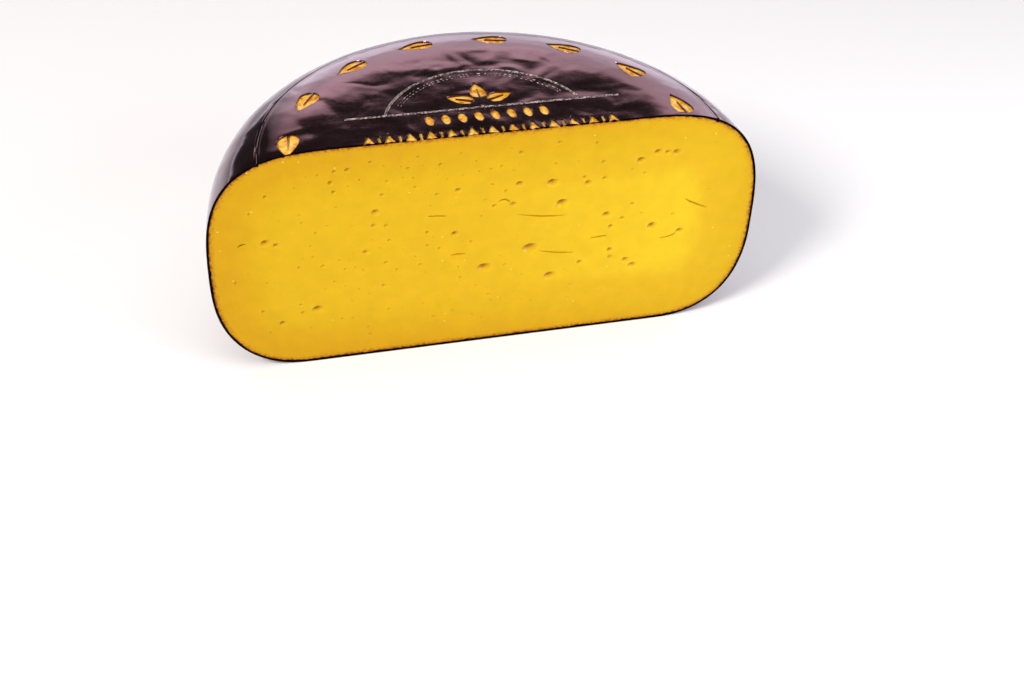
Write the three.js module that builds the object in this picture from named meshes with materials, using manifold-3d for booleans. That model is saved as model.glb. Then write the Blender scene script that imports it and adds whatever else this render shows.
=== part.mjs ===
// Half of a wheel of waxed semi-hard cheese, standing on its base with the cut face to the front.
// Two pieces: the pressed cheese itself, and the wax coat that peels off it.
// Millimetres, +Z up. The origin is on the base, in the middle of the footprint; the cut face looks along -Y.
import * as THREE from "three";
import { mergeVertices } from "three/addons/utils/BufferGeometryUtils.js";
import Module from "manifold-3d";

const wasm = await Module();
wasm.setup();

// ---- The whole wheel, measured over the wax ----
const WHEEL_DIAMETER = 244;
const WHEEL_HEIGHT = 112;
const BELLY_HEIGHT = 50; // height of the widest line of the side
const TOP_FLAT_RADIUS = 60; // the top is level inside this radius
const BASE_FLAT_RADIUS = 79; // and the base inside this one
const TOP_SHOULDER_POWER = 3.15; // superellipse power of the curve from the belly up: 2 is an ellipse
const BASE_SHOULDER_POWER = 2.45; // and of the curve from the belly down
const CUT_BEHIND_AXIS = 4.7; // the knife went this far behind the middle of the wheel

// ---- The coat ----
const WAX_THICKNESS = 1.2;
const PASTE_CLEARANCE = 0.3; // between the cheese and the inside of the coat

// The follower of the press leaves a fine raised ring round the top shoulder.
const PRESS_RING_RADIUS = 97;
const PRESS_RING_WIDTH = 1.8;
const PRESS_RING_HEIGHT = 0.45;

// ---- Pattern cut through the top of the coat, so that the cheese shows ----
const LEAF_RING_RADIUS = 84.5;
const LEAF_COUNT = 8;
const LEAF_PITCH = 23.3; // degrees
const FIRST_LEAF = 9.7; // degrees from +X
const LEAF_LENGTH = 17;
const LEAF_WIDTH = 10;

const SPRIG_BEHIND_CUT = 24; // from the cut face to the foot of the three leaves
const SPRIG_LEAF_LENGTH = 13;
const SPRIG_LEAF_WIDTH = 8;
const SPRIG_SPREAD = 68; // degrees between neighbouring leaves
const SPRIG_GAP = 3.2; // wax left between the foot and each leaf
const STALK_LENGTH = 3.6;
const STALK_WIDTH = 1.8;

const VEIN_WIDTH = 0.9; // wax that stands in the middle of a leaf, at its foot
const VEIN_REACH = 0.62; // share of the leaf that it runs along

// A border of lozenges with a bar between each two, which the knife cut across
const LOZENGE_COUNT = 13;
const LOZENGE_PITCH = 8.6;
const LOZENGE_WIDTH = 4.8;
const LOZENGE_REACH = 6.5; // behind the cut face
const BAR_WIDTH = 1.5;
const BAR_REACH = 4.6;

// and a row of grains behind it
const GRAIN_COUNT = 8;
const GRAIN_PITCH = 7;
const GRAIN_WIDTH = 4;
const GRAIN_LENGTH = 8.5;
const GRAINS_BEHIND_CUT = 13;

// A shallow arc over the sprig and the straight line that it stands on, which do not go through the coat
const ARC_RADIUS = 44;
const ARC_CENTRE_BEHIND_CUT = 6.5;
const LINE_BEHIND_CUT = 19.5;
const LINE_LENGTH = 118;
const GROOVE_WIDTH = 1.1;
const GROOVE_DEPTH = 0.5;

// ---- Eyes: small round holes that the knife opened in the cut face ----
// [share of the half width, share of the height, diameter]
const EYES = [
  [0.6, 0.83, 2.8],
  [0.67, 0.82, 2.8],
  [0.54, 0.8, 2.8],
  [0.35, 0.72, 2.6],
  [0.22, 0.74, 3.2],
  [0.1, 0.75, 2.4],
  [0.26, 0.64, 3.6],
  [0.43, 0.56, 2.8],
  [0.45, 0.5, 2.4],
  [0.61, 0.48, 3.6],
  [0.72, 0.44, 3],
  [0.15, 0.44, 4.2],
  [0.34, 0.34, 2.4],
  [-0.02, 0.37, 3.8],
  [0.23, 0.29, 3.6],
  [0.45, 0.38, 2.6],
  [0.53, 0.31, 3],
  [-0.41, 0.69, 2.6],
  [-0.79, 0.6, 3],
  [-0.45, 0.51, 2.2],
  [-0.63, 0.26, 3.2],
  [-0.76, 0.21, 2.4],
];
const EYE_DEPTH_SHARE = 0.5; // of its diameter
const EYE_SIDES = 10;

// ---- Sizes that follow from those above ----
const RADIUS = WHEEL_DIAMETER / 2;
const PASTE_INSET = WAX_THICKNESS + PASTE_CLEARANCE;
const DEPTH = RADIUS - CUT_BEHIND_AXIS; // from the cut face to the back of the wheel
const HALF_WIDTH = Math.sqrt(RADIUS ** 2 - CUT_BEHIND_AXIS ** 2); // of the cut face

const WHEEL_SEGMENTS = 72;
const SHOULDER_STEPS = 11;
const CUTTER_DEPTH = 20; // enough to pass through the coat where the shoulder slopes away
const CLEAR_OF_TOP = 1;

const material = (color, roughness) => new THREE.MeshStandardMaterial({ color, roughness, metalness: 0 });
const pasteMaterial = material(0xefc130, 0.5);
const waxMaterial = material(0x2a1611, 0.2);

// A closed geometry as a solid that can be cut and joined.
function solid(geometry) {
  const bare = geometry.clone();
  bare.deleteAttribute("normal");
  bare.deleteAttribute("uv");
  const merged = mergeVertices(bare, 1e-4);
  return new wasm.Manifold(
    new wasm.Mesh({
      numProp: 3,
      vertProperties: merged.attributes.position.array,
      triVerts: new Uint32Array(merged.index.array),
    }),
  );
}

function geometryOf(body) {
  const mesh = body.getMesh();
  const geometry = new THREE.BufferGeometry();
  geometry.setAttribute("position", new THREE.BufferAttribute(mesh.vertProperties, 3));
  geometry.setIndex(new THREE.BufferAttribute(mesh.triVerts, 1));
  geometry.computeVertexNormals();
  return geometry;
}

// One point of the side's curve, between the belly (turn 0) and a flat (turn 90 degrees), pushed inwards by
// inset. rise is how far the flat lies above the belly, and is negative for the base.
function shoulderPoint(turn, flatRadius, rise, power, inset) {
  const reach = RADIUS - flatRadius;
  const across = Math.cos(turn) ** (2 / power);
  const up = Math.sin(turn) ** (2 / power);
  const normal = new THREE.Vector2(across ** (power - 1) / reach, up ** (power - 1) / rise).normalize();
  const point = new THREE.Vector2(flatRadius + reach * across, BELLY_HEIGHT + rise * up);
  return point.addScaledVector(normal, -inset);
}

// The wheel's profile from the middle of the base to the middle of the top, everywhere inset from the outside
// of the wax.
function wheelProfile(inset) {
  const toBase = -BELLY_HEIGHT;
  const toTop = WHEEL_HEIGHT - BELLY_HEIGHT;
  const points = [new THREE.Vector2(0, inset)];
  for (let i = SHOULDER_STEPS; i > 0; i--) {
    const turn = ((Math.PI / 2) * i) / SHOULDER_STEPS;
    points.push(shoulderPoint(turn, BASE_FLAT_RADIUS, toBase, BASE_SHOULDER_POWER, inset));
  }
  for (let i = 0; i <= SHOULDER_STEPS; i++) {
    const turn = ((Math.PI / 2) * i) / SHOULDER_STEPS;
    points.push(shoulderPoint(turn, TOP_FLAT_RADIUS, toTop, TOP_SHOULDER_POWER, inset));
  }
  points.push(new THREE.Vector2(0, WHEEL_HEIGHT - inset));
  return points;
}

// Height of the outside of the wax above the base, on the top shoulder.
function shoulderHeight(radius) {
  const across = Math.max(0, radius - TOP_FLAT_RADIUS) / (RADIUS - TOP_FLAT_RADIUS);
  const up = (1 - across ** TOP_SHOULDER_POWER) ** (1 / TOP_SHOULDER_POWER);
  return BELLY_HEIGHT + (WHEEL_HEIGHT - BELLY_HEIGHT) * up;
}

// A profile in (radius, height), turned about the wheel's axis.
function turned(points) {
  const geometry = new THREE.LatheGeometry(points, WHEEL_SEGMENTS);
  return solid(geometry.rotateX(Math.PI / 2));
}

// The part of a whole wheel that lies behind the knife.
function behindCut(wheel) {
  const keep = new THREE.BoxGeometry(2 * WHEEL_DIAMETER, WHEEL_DIAMETER, 2 * WHEEL_HEIGHT);
  keep.translate(0, CUT_BEHIND_AXIS + WHEEL_DIAMETER / 2, WHEEL_HEIGHT / 2);
  return wheel.intersect(solid(keep));
}

// A shape drawn on the top, as a cutter that goes through the coat.
function throughCut(shape, x, y, turn) {
  const options = { depth: CUTTER_DEPTH, bevelEnabled: false, curveSegments: 8 };
  const geometry = new THREE.ExtrudeGeometry(shape, options);
  geometry.rotateZ(turn);
  geometry.translate(x, y, WHEEL_HEIGHT + CLEAR_OF_TOP - CUTTER_DEPTH);
  return solid(geometry);
}

// A leaf that points along turn from its foot at (x, y), with a vein of wax left along its middle.
function leafCut(x, y, turn, length, width) {
  const leaf = new THREE.Shape();
  const bulge = 0.8 * width;
  const taper = 0.42 * width;
  leaf.moveTo(0, -VEIN_WIDTH / 2);
  leaf.bezierCurveTo(0.1 * length, -bulge, 0.62 * length, -taper, length, 0);
  leaf.bezierCurveTo(0.62 * length, taper, 0.1 * length, bulge, 0, VEIN_WIDTH / 2);
  leaf.lineTo(VEIN_REACH * length, 0);
  leaf.closePath();
  return throughCut(leaf, x, y, turn);
}

function leafRingCuts() {
  const cuts = [];
  for (let i = 0; i < LEAF_COUNT; i++) {
    const angle = THREE.MathUtils.degToRad(FIRST_LEAF + i * LEAF_PITCH);
    const along = angle + Math.PI / 2;
    const x = LEAF_RING_RADIUS * Math.cos(angle) - (LEAF_LENGTH / 2) * Math.cos(along);
    const y = LEAF_RING_RADIUS * Math.sin(angle) - (LEAF_LENGTH / 2) * Math.sin(along);
    cuts.push(leafCut(x, y, along, LEAF_LENGTH, LEAF_WIDTH));
  }
  return cuts;
}

// A pointed shape about (0, 0): a lozenge.
function lozengeShape(width, length) {
  const shape = new THREE.Shape();
  shape.moveTo(width / 2, 0);
  shape.lineTo(0, length / 2);
  shape.lineTo(-width / 2, 0);
  shape.lineTo(0, -length / 2);
  shape.closePath();
  return shape;
}

function barShape(width, length) {
  const shape = new THREE.Shape();
  shape.moveTo(width / 2, -length / 2);
  shape.lineTo(width / 2, length / 2);
  shape.lineTo(-width / 2, length / 2);
  shape.lineTo(-width / 2, -length / 2);
  shape.closePath();
  return shape;
}

// Three leaves on a short stalk.
function sprigCuts() {
  const foot = CUT_BEHIND_AXIS + SPRIG_BEHIND_CUT;
  const cuts = [throughCut(lozengeShape(STALK_WIDTH, 2 * STALK_LENGTH), 0, foot - STALK_LENGTH, 0)];
  for (const step of [-1, 0, 1]) {
    const turn = Math.PI / 2 + THREE.MathUtils.degToRad(step * SPRIG_SPREAD);
    const x = SPRIG_GAP * Math.cos(turn);
    const y = foot + SPRIG_GAP * Math.sin(turn);
    cuts.push(leafCut(x, y, turn, SPRIG_LEAF_LENGTH, SPRIG_LEAF_WIDTH));
  }
  return cuts;
}

function borderCuts() {
  const lozenge = lozengeShape(LOZENGE_WIDTH, 2 * LOZENGE_REACH);
  const bar = barShape(BAR_WIDTH, 2 * BAR_REACH);
  const cuts = [];
  for (let i = 0; i < LOZENGE_COUNT; i++) {
    const x = (i - (LOZENGE_COUNT - 1) / 2) * LOZENGE_PITCH;
    cuts.push(throughCut(lozenge, x, CUT_BEHIND_AXIS, 0));
    if (i > 0) cuts.push(throughCut(bar, x - LOZENGE_PITCH / 2, CUT_BEHIND_AXIS, 0));
  }
  return cuts;
}

function grainCuts() {
  const grain = new THREE.Shape();
  grain.absellipse(0, 0, GRAIN_WIDTH / 2, GRAIN_LENGTH / 2, 0, 2 * Math.PI);
  const cuts = [];
  for (let i = 0; i < GRAIN_COUNT; i++) {
    const x = (i - (GRAIN_COUNT - 1) / 2) * GRAIN_PITCH;
    cuts.push(throughCut(grain, x, CUT_BEHIND_AXIS + GRAINS_BEHIND_CUT, 0));
  }
  return cuts;
}

// The arc and the line, as one cutter that reaches down into the level top.
function emblemGrooves() {
  const inner = ARC_RADIUS - GROOVE_WIDTH / 2;
  const outer = ARC_RADIUS + GROOVE_WIDTH / 2;
  const floor = WHEEL_HEIGHT - GROOVE_DEPTH;
  const above = WHEEL_HEIGHT + CLEAR_OF_TOP;
  const corners = [
    [inner, floor],
    [outer, floor],
    [outer, above],
    [inner, above],
    [inner, floor],
  ];
  const ring = turned(corners.map(([r, z]) => new THREE.Vector2(r, z)));
  const lineY = CUT_BEHIND_AXIS + LINE_BEHIND_CUT;
  const arc = ring.translate([0, CUT_BEHIND_AXIS + ARC_CENTRE_BEHIND_CUT, 0]).trimByPlane([0, 1, 0], lineY);
  const line = new THREE.BoxGeometry(LINE_LENGTH, GROOVE_WIDTH, above - floor);
  line.translate(0, lineY, (above + floor) / 2);
  return arc.add(solid(line));
}

// A low ridge that stands on the top shoulder; its foot is sunk into the wax.
function pressRing() {
  const foot = WAX_THICKNESS / 2;
  const half = PRESS_RING_WIDTH / 2;
  const at = (r, lift) => new THREE.Vector2(r, shoulderHeight(r) + lift);
  return turned([
    at(PRESS_RING_RADIUS - half, -foot),
    at(PRESS_RING_RADIUS + half, -foot),
    at(PRESS_RING_RADIUS + half, 0),
    at(PRESS_RING_RADIUS, PRESS_RING_HEIGHT),
    at(PRESS_RING_RADIUS - half, 0),
    at(PRESS_RING_RADIUS - half, -foot),
  ]);
}

// A ball sunk into the cut face as far as its depth.
function eyeCut([acrossShare, heightShare, diameter]) {
  const ball = new THREE.SphereGeometry(diameter / 2, EYE_SIDES, EYE_SIDES / 2);
  ball.scale(1, 2 * EYE_DEPTH_SHARE, 1);
  ball.translate(acrossShare * HALF_WIDTH, CUT_BEHIND_AXIS, heightShare * WHEEL_HEIGHT);
  return solid(ball);
}

const less = (body, cutter) => body.subtract(cutter);

function makePaste() {
  const half = behindCut(turned(wheelProfile(PASTE_INSET)));
  const mesh = new THREE.Mesh(geometryOf(EYES.map(eyeCut).reduce(less, half)), pasteMaterial);
  mesh.name = "cheese_paste";
  return mesh;
}

function makeWaxCoat() {
  const skin = turned(wheelProfile(0)).add(pressRing());
  const shell = behindCut(skin.subtract(turned(wheelProfile(WAX_THICKNESS))));
  const pattern = [...leafRingCuts(), ...sprigCuts(), ...borderCuts(), ...grainCuts()];
  const mesh = new THREE.Mesh(geometryOf([...pattern, emblemGrooves()].reduce(less, shell)), waxMaterial);
  mesh.name = "wax_coat";
  return mesh;
}

// The pieces are made about the wheel's axis, and this group puts the middle of the footprint at the origin.
const halfWheel = new THREE.Group();
halfWheel.position.y = -CUT_BEHIND_AXIS - DEPTH / 2;
halfWheel.add(makePaste(), makeWaxCoat());

const part = new THREE.Group();
part.add(halfWheel);

export default part;
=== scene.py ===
"""Half a wheel of waxed semi-hard cheese: the cheese with its cut face, and the dark wax coat round it."""

import math
import random

import bmesh
import bpy
import numpy as np
from mathutils import Matrix, Vector, noise
from mathutils.geometry import interpolate_bezier


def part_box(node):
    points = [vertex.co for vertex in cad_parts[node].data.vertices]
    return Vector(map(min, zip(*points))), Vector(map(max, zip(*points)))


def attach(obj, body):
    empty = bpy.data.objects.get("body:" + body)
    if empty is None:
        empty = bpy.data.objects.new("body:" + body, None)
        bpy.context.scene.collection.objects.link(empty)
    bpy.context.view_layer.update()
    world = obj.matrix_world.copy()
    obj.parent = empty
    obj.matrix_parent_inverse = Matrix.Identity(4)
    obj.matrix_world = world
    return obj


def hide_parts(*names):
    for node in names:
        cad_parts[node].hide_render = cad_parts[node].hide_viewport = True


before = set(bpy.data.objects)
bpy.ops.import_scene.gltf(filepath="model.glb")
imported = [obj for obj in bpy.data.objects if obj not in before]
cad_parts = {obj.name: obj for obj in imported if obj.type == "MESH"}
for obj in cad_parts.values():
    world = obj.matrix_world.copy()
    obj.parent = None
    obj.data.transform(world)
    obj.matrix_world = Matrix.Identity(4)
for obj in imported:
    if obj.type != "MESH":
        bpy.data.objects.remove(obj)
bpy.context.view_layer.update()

bl_info = {
    "name": "Waxed half cheese",
    "version": (1, 0, 0),
    "blender": (4, 5, 0),
    "location": "View3D > Sidebar > Cheese",
    "description": "Models half a wheel of waxed cheese and its studio",
    "category": "Add Mesh",
}

MM = 0.001

# ---- The wheel's main sizes, from the boxes of the fixed solids ----
COAT_LOW, COAT_HIGH = (Vector(corner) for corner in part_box("wax_coat"))
CUT_Y = COAT_LOW.y  # the plane of the cut face
HEIGHT = COAT_HIGH.z
DEPTH = COAT_HIGH.y - COAT_LOW.y
HALF_WIDTH = (COAT_HIGH.x - COAT_LOW.x) / 2
RADIUS = (DEPTH + HALF_WIDTH**2 / DEPTH) / 2
AXIS = Vector((0, COAT_HIGH.y - RADIUS, 0))  # the wheel's own axis, a little in front of the cut

WHEEL_STEPS = 288  # round the whole wheel
PROFILE_STEPS = 240  # along each shoulder, before the points are spaced out
PROFILE_GAP = 2.2 * MM
FINE_GAP = 0.4 * MM
CELL = 6.1 * MM  # of the grid on the cut face
COAT_SETTLE = 0.3 * MM  # how far the wax lies inside the solid's outline, which leaves room for its dips
FACE_Y = CUT_Y + 0.15 * MM  # the cheese shrinks back a hair behind the cut edge of the wax

# [share of the half width, share of the height, width in mm, how much wider than high]
EYES = [
    (0.60, 0.83, 2.6, 1.3),
    (0.635, 0.825, 2.0, 1.2),
    (0.67, 0.82, 2.8, 1.3),
    (0.54, 0.80, 3.0, 1.2),
    (0.35, 0.72, 2.8, 1.1),
    (0.335, 0.75, 1.6, 1.2),
    (0.41, 0.735, 1.8, 1.2),
    (0.22, 0.74, 3.4, 1.4),
    (0.10, 0.75, 2.6, 1.3),
    (0.05, 0.725, 1.4, 1.0),
    (0.26, 0.64, 3.8, 1.3),
    (0.43, 0.56, 3.0, 1.3),
    (0.49, 0.535, 2.0, 1.2),
    (0.45, 0.50, 2.4, 1.0),
    (0.525, 0.60, 1.8, 1.4),
    (0.61, 0.48, 3.8, 1.1),
    (0.72, 0.44, 3.0, 1.2),
    (0.15, 0.44, 4.4, 1.5),
    (0.34, 0.34, 2.4, 1.0),
    (-0.02, 0.37, 4.0, 1.5),
    (0.23, 0.29, 3.8, 1.3),
    (0.455, 0.385, 2.6, 1.1),
    (0.457, 0.348, 2.0, 1.2),
    (0.52, 0.325, 2.8, 1.2),
    (0.55, 0.295, 2.8, 1.4),
    (0.01, 0.66, 1.8, 1.2),
    (0.08, 0.66, 2.2, 1.3),
    (-0.41, 0.69, 2.8, 1.2),
    (-0.42, 0.63, 1.8, 1.2),
    (-0.793, 0.603, 3.0, 1.3),
    (-0.757, 0.588, 2.2, 1.2),
    (-0.45, 0.51, 2.2, 1.2),
    (-0.63, 0.26, 3.4, 1.3),
    (-0.76, 0.21, 2.4, 1.1),
    (-0.13, 0.55, 2.6, 1.2),
    (-0.23, 0.57, 1.8, 1.0),
    (-0.23, 0.51, 1.6, 1.0),
    (-0.12, 0.75, 2.2, 1.3),
    (-0.56, 0.84, 2.2, 1.0),
    (-0.55, 0.80, 1.8, 1.0),
    (-0.50, 0.89, 2.0, 1.2),
    (-0.38, 0.45, 1.6, 1.2),
    (-0.34, 0.41, 1.4, 1.0),
    (-0.39, 0.34, 1.6, 1.2),
    (-0.78, 0.81, 1.6, 1.0),
    (0.37, 0.90, 1.4, 0.8),
    (0.40, 0.81, 1.8, 1.1),
    (0.10, 0.89, 1.8, 1.3),
]

# Cracks where the curd did not knit:
# [share of the half width and of the height where it starts, the same where it ends, sag in mm]
SLITS = [
    (-0.11, 0.57, 0.08, 0.55, -2.2),
    (0.09, 0.615, 0.28, 0.585, -1.2),
    (0.02, 0.675, 0.07, 0.668, 1.8),
    (0.18, 0.425, 0.32, 0.395, -0.6),
    (0.37, 0.455, 0.44, 0.455, 0.5),
    (0.64, 0.42, 0.71, 0.435, -0.8),
    (0.72, 0.60, 0.82, 0.545, -0.6),
    (-0.23, 0.645, -0.16, 0.635, 0.5),
    (-0.15, 0.45, -0.09, 0.45, 0.2),
    (-0.89, 0.60, -0.86, 0.61, 0.3),
]


def linear(code):
    """An sRGB hex colour as linear red, green, blue and alpha."""
    parts = [int(code[i : i + 2], 16) / 255 for i in (1, 3, 5)]
    return tuple(c / 12.92 if c <= 0.04045 else ((c + 0.055) / 1.055) ** 2.4 for c in parts) + (1.0,)


# ---- settings ----

LENGTH = {"unit": "LENGTH", "subtype": "DISTANCE"}
ANGLE = {"unit": "ROTATION", "subtype": "ANGLE"}
POWER = {"subtype": "FACTOR", "min": 2, "max": 6}
COLOUR = {"subtype": "COLOR", "size": 4, "min": 0, "max": 1}


class WheelShape(bpy.types.PropertyGroup):
    """The outline of the whole wheel over its wax"""

    belly_height: bpy.props.FloatProperty(
        name="Belly height", description="Height of the widest line of the side", default=50 * MM, **LENGTH
    )
    top_flat: bpy.props.FloatProperty(
        name="Top flat radius", description="The top is level inside this radius", default=60 * MM, **LENGTH
    )
    base_flat: bpy.props.FloatProperty(
        name="Base flat radius",
        description="The base is level inside this radius",
        default=79 * MM,
        **LENGTH,
    )
    top_power: bpy.props.FloatProperty(
        name="Top shoulder power",
        description="Superellipse power of the curve from the belly up",
        default=3.15,
        **POWER,
    )
    base_power: bpy.props.FloatProperty(
        name="Base shoulder power",
        description="Superellipse power of the curve from the belly down",
        default=2.45,
        **POWER,
    )


class WaxCoat(bpy.types.PropertyGroup):
    """The dark coat and the pattern cut through its top"""

    thickness: bpy.props.FloatProperty(
        name="Thickness", description="How thick the wax is", default=0.85 * MM, **LENGTH
    )
    waviness: bpy.props.FloatProperty(
        name="Waviness",
        description="How far the slow swells of the dipped surface rise and sink",
        default=0.24 * MM,
        **LENGTH,
    )
    leaf_ring: bpy.props.FloatProperty(
        name="Leaf ring radius",
        description="Radius of the ring of leaves, about the wheel's axis",
        default=84.5 * MM,
        **LENGTH,
    )
    lip: bpy.props.FloatProperty(
        name="Lip",
        description="Radius of the rounded rim of wax round each cut-out",
        default=0.3 * MM,
        **LENGTH,
    )
    ragged: bpy.props.FloatProperty(
        name="Ragged edge",
        description="How far the wax thickens and smears in places along the cut",
        default=0.35 * MM,
        **LENGTH,
    )
    colour: bpy.props.FloatVectorProperty(
        name="Colour", description="Colour of the wax", default=linear("#140807"), **COLOUR
    )


class CheeseBody(bpy.types.PropertyGroup):
    """The pressed cheese"""

    middle: bpy.props.FloatVectorProperty(
        name="Middle",
        description="Colour of the cut face away from the rind",
        default=linear("#d7ae12"),
        **COLOUR,
    )
    near_rind: bpy.props.FloatVectorProperty(
        name="Near the rind",
        description="Colour of the drier band of the cut face",
        default=linear("#cb9b05"),
        **COLOUR,
    )
    rind: bpy.props.FloatVectorProperty(
        name="Rind",
        description="Colour of the rind that shows through the wax",
        default=linear("#f3ab28"),
        **COLOUR,
    )
    pinholes: bpy.props.IntProperty(
        name="Pinholes",
        description="How many very small holes the cut face has",
        default=190,
        min=0,
        max=400,
    )
    seed: bpy.props.IntProperty(name="Seed", description="Seed of the pinholes", default=7)


class CheeseStudio(bpy.types.PropertyGroup):
    """Camera, light and floor"""

    azimuth: bpy.props.FloatProperty(
        name="Azimuth",
        description="How far round to the right of the cut face the camera stands",
        default=math.radians(-15.07),
        **ANGLE,
    )
    elevation: bpy.props.FloatProperty(
        name="Elevation",
        description="How far above the horizon the camera stands",
        default=math.radians(40.44),
        **ANGLE,
    )
    roll: bpy.props.FloatProperty(
        name="Roll",
        description="How far the camera is turned about its own line of sight",
        default=math.radians(2.58),
        **ANGLE,
    )
    distance: bpy.props.FloatProperty(
        name="Distance",
        description="From the camera to the point that it looks at",
        default=648.6 * MM,
        **LENGTH,
    )
    lens: bpy.props.FloatProperty(
        name="Lens", description="Focal length in millimetres on a 36 mm wide sensor", default=48.95
    )
    key_power: bpy.props.FloatProperty(
        name="Key light",
        description="Power of the large soft light at the front left",
        default=26.0,
        unit="POWER",
    )
    floor_colour: bpy.props.FloatVectorProperty(
        name="Floor colour", description="Colour of the floor", default=linear("#f1f0f2"), **COLOUR
    )


# ---- shape of the wheel ----


def side_point(shape, turn, upper, inset):
    """One point (radius, height) of the side, between the belly (turn 0) and a flat (turn 90 degrees)."""
    flat, power = (shape.top_flat, shape.top_power) if upper else (shape.base_flat, shape.base_power)
    rise = HEIGHT - shape.belly_height if upper else -shape.belly_height
    reach = RADIUS - flat
    across = math.cos(turn) ** (2 / power)
    up = math.sin(turn) ** (2 / power)
    normal = Vector((across ** (power - 1) / reach, up ** (power - 1) / rise)).normalized()
    return Vector((flat + reach * across, shape.belly_height + rise * up)) - inset * normal


def smooth_profile(shape, inset):
    """The wheel's profile as close (radius, height) points, from the middle of the base to the top's."""
    turns = [math.pi / 2 * i / PROFILE_STEPS for i in range(PROFILE_STEPS + 1)]
    base = [side_point(shape, turn, False, inset) for turn in reversed(turns)]
    top = [side_point(shape, turn, True, inset) for turn in turns[1:]]
    return [Vector((0, inset)), *base, *top, Vector((0, HEIGHT - inset))]


def spaced(points, gap):
    """Points along a polyline, as far apart as gap(point) says, with its two ends kept."""
    kept = [points[0]]
    for start, end in zip(points, points[1:]):
        while (end - kept[-1]).length >= gap(kept[-1]):
            step = gap(kept[-1])
            along = (end - start).normalized()
            off = kept[-1] - start
            behind = off.dot(along)
            reach = behind + math.sqrt(max(0, step**2 - (off.length**2 - behind**2)))
            kept.append(start + along * reach)
    if (points[-1] - kept[-1]).length < 0.3 * gap(kept[-1]):
        kept.pop()
    return [*kept, points[-1]]


def spun_wheel(profile):
    """A closed wheel, made by spinning a profile once round the axis."""
    bm = bmesh.new()
    verts = [bm.verts.new((radius, AXIS.y, height)) for radius, height in profile]
    edges = [bm.edges.new(pair) for pair in zip(verts, verts[1:])]
    bmesh.ops.spin(
        bm,
        geom=[*verts, *edges],
        cent=AXIS,
        axis=(0, 0, 1),
        angle=2 * math.pi,
        steps=WHEEL_STEPS,
        use_merge=True,
    )
    bmesh.ops.remove_doubles(bm, verts=bm.verts, dist=0.01 * MM)
    bmesh.ops.recalc_face_normals(bm, faces=bm.faces)
    return bm


def cut_in_half(bm, plane_y=CUT_Y):
    """Takes away what lies in front of the knife's plane."""
    geom = [*bm.verts, *bm.edges, *bm.faces]
    bmesh.ops.bisect_plane(bm, geom=geom, plane_co=(0, plane_y, 0), plane_no=(0, -1, 0), clear_outer=True)


def open_edges(bm):
    return [edge for edge in bm.edges if edge.is_boundary]


def swell(point, size, seed):
    """Slow smooth noise from -1 to 1 with hills about size across."""
    return noise.noise(point / size + Vector((seed, 2.3 * seed, -1.7 * seed)))


# ---- making meshes ----


def mesh_of(bm, name):
    mesh = bpy.data.meshes.new(name)
    bm.to_mesh(mesh)
    bm.free()
    return mesh


def add_mesh(bm, other):
    """Adds one mesh to another, and frees it."""
    mesh = mesh_of(other, "part")
    bm.from_mesh(mesh)
    bpy.data.meshes.remove(mesh)


def put_in_scene(mesh, name):
    piece = bpy.data.objects.new(name, mesh)
    bpy.context.scene.collection.objects.link(piece)
    return piece


def take_away(piece, cutters):
    """Cuts one mesh out of a piece, for good."""
    tool = put_in_scene(cutters, "cutters")
    cut = piece.modifiers.new("cut", "BOOLEAN")
    cut.operation = "DIFFERENCE"
    cut.solver = "EXACT"
    cut.object = tool
    graph = bpy.context.evaluated_depsgraph_get()
    mesh = bpy.data.meshes.new_from_object(piece.evaluated_get(graph))
    if len(mesh.polygons) < len(piece.data.polygons) / 2:
        raise RuntimeError(f"cutting {piece.name} failed")
    piece.modifiers.clear()
    old = piece.data
    piece.data = mesh
    bpy.data.meshes.remove(old)
    bpy.data.objects.remove(tool)
    bpy.data.meshes.remove(cutters)


def add_node(tree, kind, inputs=None, stops=None, **settings):
    """Adds a shader node, with a colour ramp's (place, colour) stops. Each input is set to a value, or linked
    from a socket or from the first output of a node."""
    made = tree.nodes.new("ShaderNode" + kind)
    for key, value in settings.items():
        setattr(made, key, value)
    for index, (place, colour) in enumerate(stops or ()):
        elements = made.color_ramp.elements
        element = elements[index] if index < len(elements) else elements.new(place)
        element.position = place
        element.color = colour
    for key, value in (inputs or {}).items():
        if isinstance(value, bpy.types.Node):
            value = value.outputs[0]
        if isinstance(value, bpy.types.NodeSocket):
            tree.links.new(value, made.inputs[key])
        else:
            made.inputs[key].default_value = value
    return made


def new_material(name):
    """A material, its node tree, and the socket in it that gives a point's place on the object."""
    material = bpy.data.materials.new(name)
    material.use_nodes = True
    tree = material.node_tree
    tree.nodes.clear()
    return material, tree, add_node(tree, "TexCoord").outputs["Object"]


def grey(value):
    return (value, value, value, 1.0)


# ---- the cheese ----


def in_plane(face, plane_y):
    """Whether a face lies in the knife's plane, or in a plane along it, and looks forward."""
    return face.normal.y < -0.999 and abs(face.calc_center_median().y - plane_y) < 0.01 * MM


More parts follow.
